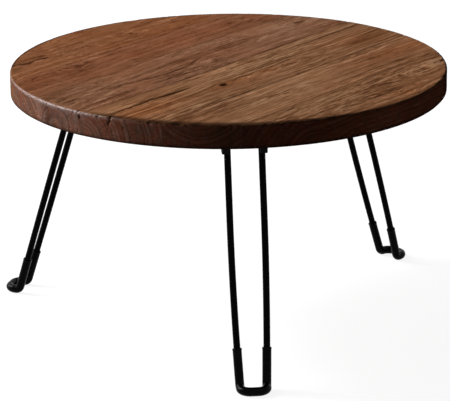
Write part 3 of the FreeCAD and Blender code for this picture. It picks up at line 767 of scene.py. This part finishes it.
def rimDamage(u, v, drop, along, inset):
    # how far chips, the split, pits and saw marks push the rim in, the chips alone, and their darkness
    band, halfWidth = wear["bruiseBand"]
    edge = np.exp(-((inset - band) / halfWidth) ** 2) * fading("bruiseDown", drop)
    chips = np.clip(rippled("chips", along, drop) - wear["chipsFrom"], 0, 1)
    bruise = edge * wear["bruise"] * chips
    slope, swing, pace = wear["splitCourse"]
    middle = wear["splitAt"] + slope * drop / mm + swing * np.sin(pace * drop / mm)
    split = np.exp(-((v / mm - middle) / wear["splitHalfWidth"]) ** 2) * (u < wear["splitBefore"])
    split = split * fading("splitDown", drop) * (inset < wear["splitReach"])
    pit = np.zeros(u.shape)
    for degrees, down, wide, tall in wear["rimPits"]:
        aside = along - math.radians(degrees) * topRadius
        away = np.hypot(aside / (wide * mm), (drop - down * mm) / (tall * mm))
        pit = np.maximum(pit, fading("pit", away) * (inset < wear["pitReach"]))
    inward = bruise + wear["splitDepth"] * split + wear["pitDepth"] * pit
    inward = inward + wear["sawWaves"] * (1 + rippled("saw", along, drop))
    inward = np.maximum(inward * fading("rim", inset), 0)
    chipDark = wear["bruiseDark"] * edge * fading("bruiseDark", chips)
    return inward, bruise, np.maximum(wear["holeDark"] * np.maximum(split, pit), chipDark)


def rimWear(drop, along, inset, degrees):
    # shares of hand polish with a painted highlight, painted shade along the upper edge and painted shade on the
    # far edge, each full at the edge and fading inwards and down
    low = aroundRim("handledReach", degrees) * mm
    handled = wear["polishMost"] * aroundRim("handled", degrees)
    handled = handled * fading("polishIn", inset / low) * fading("polishDown", drop / low)
    handled = handled * fading("polishGaps", rippled("polish", along, drop + topRadius - inset))
    mean, swing = wear["soilCloud"]
    soiled = aroundRim("soiled", degrees) * fading("soilDown", drop)
    soiled = soiled * fading("soilIn", inset / (aroundRim("soiledWidth", degrees) * mm))
    soiled = soiled * (mean + swing * rippled("soil", along, 0))
    grimy = aroundRim("grimy", degrees) * fading("grimeDown", drop)
    grimy = grimy * fading("grimeIn", inset / (aroundRim("grimyWidth", degrees) * mm))
    return handled, np.clip(soiled, 0, 1), grimy


def makeBoard(number):
    u, v, drop = boardGrid(number)
    grain = tableTop["grainAngle"]
    bow = seamBow(number, u, v)
    angle = np.mod(np.arctan2(v, u) + grain, 2 * np.pi)
    outward = np.hypot(u, v)
    along, inset, degrees = angle * topRadius, topRadius - outward, np.degrees(angle)
    onTop = fading("top", drop)
    depth, dark = topMarks(u / mm, v / mm + bow)
    bend, tone, warmth = grainMarks(u / mm, v / mm + bow)
    # joints are shallow worn grooves with dirt in them, between low waves along the grain
    groove = seamGroove(number, u, v)
    depth = np.maximum(depth, wear["seamDepth"] * groove)
    dark = np.maximum(dark, wear["seamDark"] * groove)
    waves = wear["planeWaves"] * (1 + rippled("planeWaves", u, v, number)) / 2
    waves = waves + wear["fibreRelief"] * (1 + rippled("fibreRelief", u, v, number))
    sink = np.maximum(onTop * (depth + waves), 0)
    inward, bruise, damage = rimDamage(u, v, drop, along, inset)
    # hand polish with a painted highlight, painted shade along the upper edge, painted shade on the far edge
    worn, soiled, grimy = rimWear(drop, along, inset, degrees)
    # painted shade along the rim's lower edge and chamfer
    lowEdge = fading("lowEdge", tableTop["thickness"] - drop) * (inset < wear["lowEdgeReach"])
    # dark: dirt and dark wood in cracks, knots, joints and damage, and painted shade on the far and lower edges
    dark = np.maximum.reduce([dark * onTop, damage, grimy, wear["lowEdgeDark"] * lowEdge])
    # from the board's own directions to the table's
    scale = 1 - inward / np.maximum(outward, 1 * mm)
    bowed = v + bow * mm
    x = scale * (u * math.cos(grain) - bowed * math.sin(grain)) + topCentre[0]
    y = scale * (u * math.sin(grain) + bowed * math.cos(grain)) + topCentre[1]
    z = topCentre[2] - drop - sink - wear["bruiseSink"] * bruise
    rows, cols = u.shape
    loop = np.arange(cols)
    caps = [loop] if number < boardCount - 1 else []
    if number > 0:
        caps.append(((rows - 1) * cols + loop)[::-1])
    points = np.stack([x, y, z], -1).reshape(-1, 3)
    quads = gridFaces(rows, cols, wrapCols=True)
    piece = meshPiece(f"worn_board_{number + 1}", points, quads, caps)
    # painted light and shade on the sawn side, around the rim
    shade = aroundRim("shade", degrees)
    values = (np.clip(dark, 0, 1), bend, tone * onTop, warmth, worn, soiled, shade)
    for name, value in zip(boardMarks, values):
        giveAttribute(piece, name, value)
    piece.data.materials.append(boardMaterial(number + 1, boardLooks[number]))
    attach(piece, "tabletop")
    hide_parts(f"top_board_{number + 1}")
    return piece


for number in range(boardCount):
    board = makeBoard(number)
    print("board", number + 1, len(board.data.polygons), "faces")


# Legs: one bar of wire from hinge pin to hinge pin, in the leg's own frame (x outwards, y along the hinge)

leg = {
    "hingeDrop": 12 * mm,
    "splay": math.radians(17.5),
    "wireRadius": 4.5 * mm,
    "wireEndChamfer": 0.6 * mm,
    "endRing": 0.5,  # of the radius, on the cut end
    "rodSpacing": 45 * mm,
    "heelSpacing": 35 * mm,
    "taperStart": 97.5 * mm,
    "shoulderBend": 5 * mm,
    "taperFill": 0.999,  # of the longest bend that the taper leaves room for
    "heelBend": 7 * mm,
    "footReach": 18 * mm,
    "footBend": 13 * mm,
    "pinEnd": 32 * mm,
    "arcStep": math.radians(6),
    "straightStep": 5 * mm,
    "sides": 32,
}

sleeve = {
    "radius": 6 * mm,
    "bore": 4.55 * mm,
    "height": 55 * mm,
    "rollRadius": 6.35 * mm,
    "rollLength": 3.4 * mm,
    "lipRadius": 5 * mm,
    "endZone": 8 * mm,  # finer rings here
    "endRings": 22,
    "rings": 150,
    "waver": 0.03 * mm,  # soft tube, not quite even away from its ends
    "waverLength": 6 * mm,
    "waverFrom": 5 * mm,
    "seed": 70,
}


def unit(v):
    return v / np.linalg.norm(v)


def straightRun(start, end):
    count = max(2, int(np.linalg.norm(end - start) / leg["straightStep"]))
    return list(start + (end - start) * np.linspace(0, 1, count + 1)[1:, None])


def roundedRoute(corners, radii):
    # straight runs joined by arcs that touch both, as points about a step apart; each arc's points are
    # sin((1 - t) sweep) a + sin(t sweep) b over sin(sweep), from the arc's first radius a to its last b
    points, start = [corners[0]], corners[0]
    for k in range(1, len(corners) - 1):
        back, ahead = unit(corners[k - 1] - corners[k]), unit(corners[k + 1] - corners[k])
        half = math.acos(np.clip(back @ ahead, -1, 1)) / 2
        run = radii[k - 1] / math.tan(half)
        first, last = corners[k] + back * run, corners[k] + ahead * run
        points += straightRun(start, first)
        centre = corners[k] + unit(back + ahead) * radii[k - 1] / math.sin(half)
        sweep = math.pi - 2 * half
        steps = max(3, int(sweep / leg["arcStep"]), int(sweep * radii[k - 1] / leg["straightStep"]))
        a, b = first - centre, last - centre
        t = np.linspace(0, 1, steps + 1)[1:, None]
        points += list(centre + (np.sin((1 - t) * sweep) * a + np.sin(t * sweep) * b) / math.sin(sweep))
        start = last
    return np.array(points + straightRun(start, corners[-1]))


def legRoute():
    # half the hairpin from its hinge pin down to the middle of the foot, then its mirror image
    axisHeight = topCentre[2] - tableTop["thickness"] - leg["hingeDrop"]
    down = np.array([math.sin(leg["splay"]), 0, -math.cos(leg["splay"])])
    rod = (axisHeight - sleeve["radius"]) / math.cos(leg["splay"])
    topY, heelY = leg["rodSpacing"] / 2, leg["heelSpacing"] / 2
    heelRun = leg["heelBend"] * math.tan((math.pi / 2 - leg["splay"]) / 2)
    taper = (rod - heelRun - leg["taperStart"]) / 2
    toeIn = (topY - heelY) / math.hypot(rod - leg["taperStart"] - taper, topY - heelY)
    heel = down * rod + [0, heelY, 0]
    bend = down * (leg["taperStart"] + taper) + [0, topY, 0]
    front = heel + [leg["footReach"], -leg["footReach"] * toeIn, 0]
    pin, shoulder, toe = np.array([0, leg["pinEnd"], 0]), np.array([0, topY, 0]), front * [1, 0, 1]
    corners = [pin, shoulder, bend, heel, front, toe]
    turn = math.acos(unit(shoulder - bend) @ unit(heel - bend)) / 2
    taperBend = taper * leg["taperFill"] * math.tan(turn)
    radii = [leg["shoulderBend"], taperBend, leg["heelBend"], leg["footBend"]]
    half = roundedRoute(corners, radii)
    return np.concatenate([half, (half * [1, -1, 1])[-2::-1]])


def carryAlong(route, radii, around):
    # rings of a round section carried along a route without twist: centre + radius (cos a n + sin a b)
    tangent = np.gradient(route, axis=0)
    tangent /= np.linalg.norm(tangent, axis=1)[:, None]
    normals = [unit(np.cross(tangent[0], [1.0, 0.3, 0.2]))]  # any way across the first run
    for t in tangent[1:]:
        normals.append(unit(normals[-1] - (normals[-1] @ t) * t))
    n = np.array(normals)
    b = np.cross(tangent, n)
    a = np.linspace(0, 2 * np.pi, around, endpoint=False)
    ring = n[:, None] * np.cos(a)[None, :, None] + b[:, None] * np.sin(a)[None, :, None]
    return route[:, None] + ring * np.broadcast_to(radii, (len(route), around))[..., None], tangent


def toTable(points, azimuth, pivot):
    # turned about z by the azimuth, then moved to the hinge's middle
    c, s = math.cos(azimuth), math.sin(azimuth)
    x, y, z = points[..., 0], points[..., 1], points[..., 2]
    return np.stack([c * x - s * y + pivot[0], s * x + c * y + pivot[1], z + pivot[2]], -1)


def makeWire(name, route, azimuth, pivot):
    # a round wire along the route; its two cut ends have a small chamfer and close on a pole
    chamfer, r = leg["wireEndChamfer"], leg["wireRadius"]
    rings, tangent = carryAlong(route, np.full((len(route), 1), r), leg["sides"])
    shares = np.array([1 - chamfer / r, leg["endRing"]])[:, None, None]
    startCap = route[0] + (rings[0] - route[0]) * shares[::-1]
    endCap = route[-1] + (rings[-1] - route[-1]) * shares
    rings[0] += tangent[0] * chamfer
    rings[-1] -= tangent[-1] * chamfer
    rows = np.concatenate([startCap, rings, endCap])
    count, around = rows.shape[:2]
    points = np.concatenate([rows.reshape(-1, 3), route[:1], route[-1:]])
    quads = gridFaces(count, around, wrapCols=True)
    ring, last = np.arange(around), (count - 1) * around
    fans = [[k, (k + 1) % around, count * around][::-1] for k in ring]
    fans += [[last + k, last + (k + 1) % around, count * around + 1] for k in ring]
    return meshPiece(name, toTable(points, azimuth, pivot), quads, fans)


def makeSleeve(name, route, azimuth, pivot, seed):
    # a thick-walled tube: out over the rolled lip, along the foot and back through the bore
    height = route[:, 2] + pivot[2]
    inside = np.where(height < sleeve["height"])[0]
    part = route[inside[0]:inside[-1] + 1]
    away = np.concatenate([[0], np.cumsum(np.linalg.norm(np.diff(part, axis=0), axis=1))])
    ends = np.linspace(0, sleeve["endZone"], sleeve["endRings"])
    run = np.linspace(sleeve["endZone"], away[-1] - sleeve["endZone"], sleeve["rings"])
    fine = np.unique(np.concatenate([ends, run, away[-1] - ends[::-1]]))
    line = np.stack([np.interp(fine, away, part[:, k]) for k in range(3)], -1)
    end = np.minimum(fine, fine[-1] - fine)
    roll = np.sqrt(np.clip(1 - (2 * end / sleeve["rollLength"] - 1) ** 2, 0, 1))
    low = np.where(2 * end < sleeve["rollLength"], sleeve["lipRadius"], sleeve["radius"])
    outer = low + (sleeve["rollRadius"] - low) * roll
    uneven = sleeve["waver"] * (1 + ripple(fine / sleeve["waverLength"], 0, seed))
    outer = outer - uneven * (end > sleeve["waverFrom"])
    rings, _ = carryAlong(line, outer[:, None], leg["sides"])
    bore, _ = carryAlong(line, np.full((len(line), 1), sleeve["bore"]), leg["sides"])
    rows = np.concatenate([rings, bore[::-1]])
    quads = gridFaces(len(rows), leg["sides"], wrapRows=True, wrapCols=True)
    return meshPiece(name, toTable(rows.reshape(-1, 3), azimuth, pivot), quads)


# Black finishes

scuffLook = {
    "patchScale": 28.0,  # patches of handling to a metre
    "speckSpan": (0.5, 0.75),
    "patchSpan": (0.5, 0.7),
    "roughSwing": 0.2,
    "bumpDepth": 0.3 * mm,
}


def buildScuffGroup():
    # soft handling marks and dust, as a mask and a fine relief
    inputs = {"Place": (0.0, 0.0, 0.0), "Speck Size": 0.0012}
    tree, given, result = newGroup("handledPaint", inputs, {"Scuffs": 1, "Relief": 1})
    specks = noise(tree, given["Place"], calc(tree, "DIVIDE", 1.0, given["Speck Size"]), 3.0)
    patches = noise(tree, given["Place"], scuffLook["patchScale"], 3.0, 0.6)
    specked = span(tree, specks, *scuffLook["speckSpan"])
    patched = span(tree, patches, *scuffLook["patchSpan"])
    setInputs(tree, result, {"Scuffs": calc(tree, "MULTIPLY", specked, patched), "Relief": specks})
    return tree


scuffGroup = buildScuffGroup()

blackFinishes = {
    "wire_black": {"colour": (0.0008, 0.0007, 0.0008), "worn": (0.004, 0.004, 0.0043), "rough": 0.36,
                   "specular": 0.02, "metal": 0.0, "speck": 0.9 * mm, "bump": 0.10},
    "sleeve_black": {"colour": (0.0008, 0.0007, 0.0009), "worn": (0.003, 0.003, 0.0035), "rough": 0.18,
                     "specular": 0.035, "metal": 0.0, "speck": 0.6 * mm, "bump": 0.06},
    "bracket_black": {"colour": (0.002, 0.002, 0.0022), "worn": (0.014, 0.014, 0.015), "rough": 0.42,
                      "specular": 0.05, "metal": 0.0, "speck": 0.8 * mm, "bump": 0.15},
    "screw_steel": {"colour": (0.06, 0.06, 0.063), "worn": (0.2, 0.2, 0.2), "rough": 0.38,
                    "specular": 0.5, "metal": 1.0, "speck": 0.5 * mm, "bump": 0.12},
    "nut_steel": {"colour": (0.014, 0.014, 0.015), "worn": (0.06, 0.06, 0.062), "rough": 0.34,
                  "specular": 0.5, "metal": 1.0, "speck": 0.5 * mm, "bump": 0.12},
}


def blackMaterial(name, look):
    material, tree, bsdf = newMaterial(name)
    coords = addNode(tree, "ShaderNodeTexCoord")
    marks = placeGroup(tree, scuffGroup, {"Place": coords.outputs["Object"], "Speck Size": look["speck"]})
    swing = scuffLook["roughSwing"]
    relief = {"Height": marks["Relief"], "Strength": look["bump"], "Distance": scuffLook["bumpDepth"]}
    setInputs(tree, bsdf, {
        "Base Color": blendColours(tree, marks["Scuffs"], look["colour"], look["worn"]),
        "Metallic": look["metal"],
        "Roughness": calc(tree, "MULTIPLY_ADD", marks["Relief"], swing, look["rough"] - swing / 2),
        "Specular IOR Level": look["specular"],
        "Normal": addNode(tree, "ShaderNodeBump", relief).outputs[0],
    })
    return material


dowelLook = {  # pith and ring width in mm
    "pith": (50, -40), "ring": 2.0, "slide": 0.9, "base": (0.50, 0.33, 0.19), "rough": (0.2, 0.5),
}


def dowelMaterial():
    material, tree, bsdf = newMaterial("beechDowel")
    grain = placeGroup(tree, grainGroup, {
        "Place": grainPlace(tree, addNode(tree, "ShaderNodeTexCoord"), math.pi / 2),
        "Pith Across": dowelLook["pith"][0] * mm,
        "Pith Height": dowelLook["pith"][1] * mm,
        "Ring Width": dowelLook["ring"] * mm,
        "Slide": dowelLook["slide"],
        "Base": (*dowelLook["base"], 1),
    })
    rough = calc(tree, "MULTIPLY_ADD", grain["Rings"], *dowelLook["rough"])
    setInputs(tree, bsdf, {"Base Color": grain["Colour"], "Roughness": rough})
    return material


finishes = {name: blackMaterial(name, look) for name, look in blackFinishes.items()}
finishes["dowel_wood"] = dowelMaterial()

for subpart in frame["record"]["subparts"]:
    slotName = subpart["material_slot"]
    if slotName in finishes:
        node = frame["nodes"][subpart["node"]]
        node.data.materials.clear()
        node.data.materials.append(finishes[slotName])

route = legRoute()
for k, joint in enumerate(frame["joints"], start=1):
    axis = joint["axis"]
    azimuth = math.atan2(-axis[0], axis[1])
    pivot = joint["pos_m"]
    body = joint["child"]
    wire = makeWire(f"hairpin_{k}", route, azimuth, pivot)
    wire.data.materials.append(finishes["wire_black"])
    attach(wire, body)
    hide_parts(f"leg_{k}_wire")
    tube = makeSleeve(f"foot_tube_{k}", route, azimuth, pivot, sleeve["seed"] + k)
    tube.data.materials.append(finishes["sleeve_black"])
    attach(tube, body)
    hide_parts(f"leg_{k}_foot_sleeve")
    print("leg", k, "at", round(math.degrees(azimuth), 2), len(wire.data.polygons), len(tube.data.polygons))


# Camera and light

camera = {  # degrees and metres about the middle of the upper face, lens and sensor in mm
    "azimuth": -102.619, "elevation": 14.7645, "distance": 3.3086,
    "roll": 0.6223, "pan": 0.1173, "tilt": -3.2453, "lens": 192.0, "sensor": 36, "clipEnd": 100,
}

lights = {  # degrees and metres about the middle of the upper face, power in watts
    "key": {"azimuth": 147, "elevation": 30, "distance": 3.0, "size": 2.6, "power": 124,
            "colour": (1.0, 0.98, 0.97)},
    "core": {"azimuth": 150, "elevation": 34, "distance": 3.0, "size": 0.34, "power": 42,
             "colour": (0.92, 0.94, 1.0)},
    "fill": {"azimuth": -60, "elevation": 50, "distance": 3.4, "size": 2.4, "power": 7,
             "colour": (1.0, 1.0, 1.0)},
}

room = {"ambient": 0.07, "floorBounce": 0.12, "floorGlow": 0.89, "floorShade": 0.2, "floorSize": 40.0}


def direction(azimuth, elevation):
    a, e = math.radians(azimuth), math.radians(elevation)
    return np.array([math.cos(e) * math.cos(a), math.cos(e) * math.sin(a), math.sin(e)])


def turned(first, second, degrees):
    # two directions at right angles, turned in their own plane, the first towards the second
    c, s = math.cos(math.radians(degrees)), math.sin(math.radians(degrees))
    return first * c + second * s, second * c - first * s


def setCamera():
    forward = -direction(camera["azimuth"], camera["elevation"])
    eye = topCentre - forward * camera["distance"]
    right = unit(np.cross(forward, [0, 0, 1]))
    up = np.cross(right, forward)
    right, forward = turned(right, forward, camera["pan"])
    forward, up = turned(forward, up, camera["tilt"])
    up, right = turned(up, right, camera["roll"])
    data = bpy.data.cameras.new("view")
    data.lens, data.sensor_width, data.clip_end = camera["lens"], camera["sensor"], camera["clipEnd"]
    seen = addObject("view", data)
    turn = Matrix([list(row) for row in np.stack([right, up, -forward], 1)]).to_4x4()
    seen.matrix_world = Matrix.Translation(Vector(eye)) @ turn
    bpy.context.scene.camera = seen


def addLight(name, look):
    data = bpy.data.lights.new(name, "AREA")
    data.shape, data.size, data.energy, data.color = "DISK", look["size"], look["power"], look["colour"]
    lamp = addObject(name, data)
    aim = Vector(direction(look["azimuth"], look["elevation"]))
    lamp.location = Vector(topCentre) + aim * look["distance"]
    lamp.rotation_euler = aim.to_track_quat("Z", "Y").to_euler()


def seenDirectly(tree):
    # 1 for rays from the camera, a mirror or glass, 0 for light that falls on the table
    paths = addNode(tree, "ShaderNodeLightPath").outputs
    either = calc(tree, "MAXIMUM", paths["Is Camera Ray"], paths["Is Glossy Ray"])
    return calc(tree, "MAXIMUM", either, paths["Is Transmission Ray"])


def setRoom():
    world = bpy.data.worlds.new("room")
    bpy.context.scene.world = world
    world.use_nodes = True
    tree = world.node_tree
    strength = span(tree, seenDirectly(tree), 0.0, 1.0, room["ambient"], 1.0)
    setInputs(tree, tree.nodes["Background"], {"Strength": strength, "Color": (1, 1, 1, 1)})
    half = room["floorSize"] / 2
    mesh = bpy.data.meshes.new("floor")
    corners = [(-half, -half, 0), (half, -half, 0), (half, half, 0), (-half, half, 0)]
    mesh.from_pydata(corners, [], [(0, 1, 2, 3)])
    floor = addObject("floor", mesh)
    material, tree, bsdf = newMaterial("paleFloor")
    seen = seenDirectly(tree)
    colour = blendColours(tree, seen, (room["floorBounce"],) * 3, (room["floorShade"],) * 3)
    glow = blendColours(tree, seen, (0, 0, 0), (room["floorGlow"],) * 3)
    setInputs(tree, bsdf, {
        "Base Color": colour,
        "Roughness": 1.0,
        "Specular IOR Level": 0.0,
        "Emission Color": glow,
        "Emission Strength": 1.0,
    })
    floor.data.materials.append(material)


setCamera()
for name, look in lights.items():
    addLight(name, look)
setRoom()
bpy.context.scene.view_settings.view_transform = "Standard"
print("camera, lights and floor set")
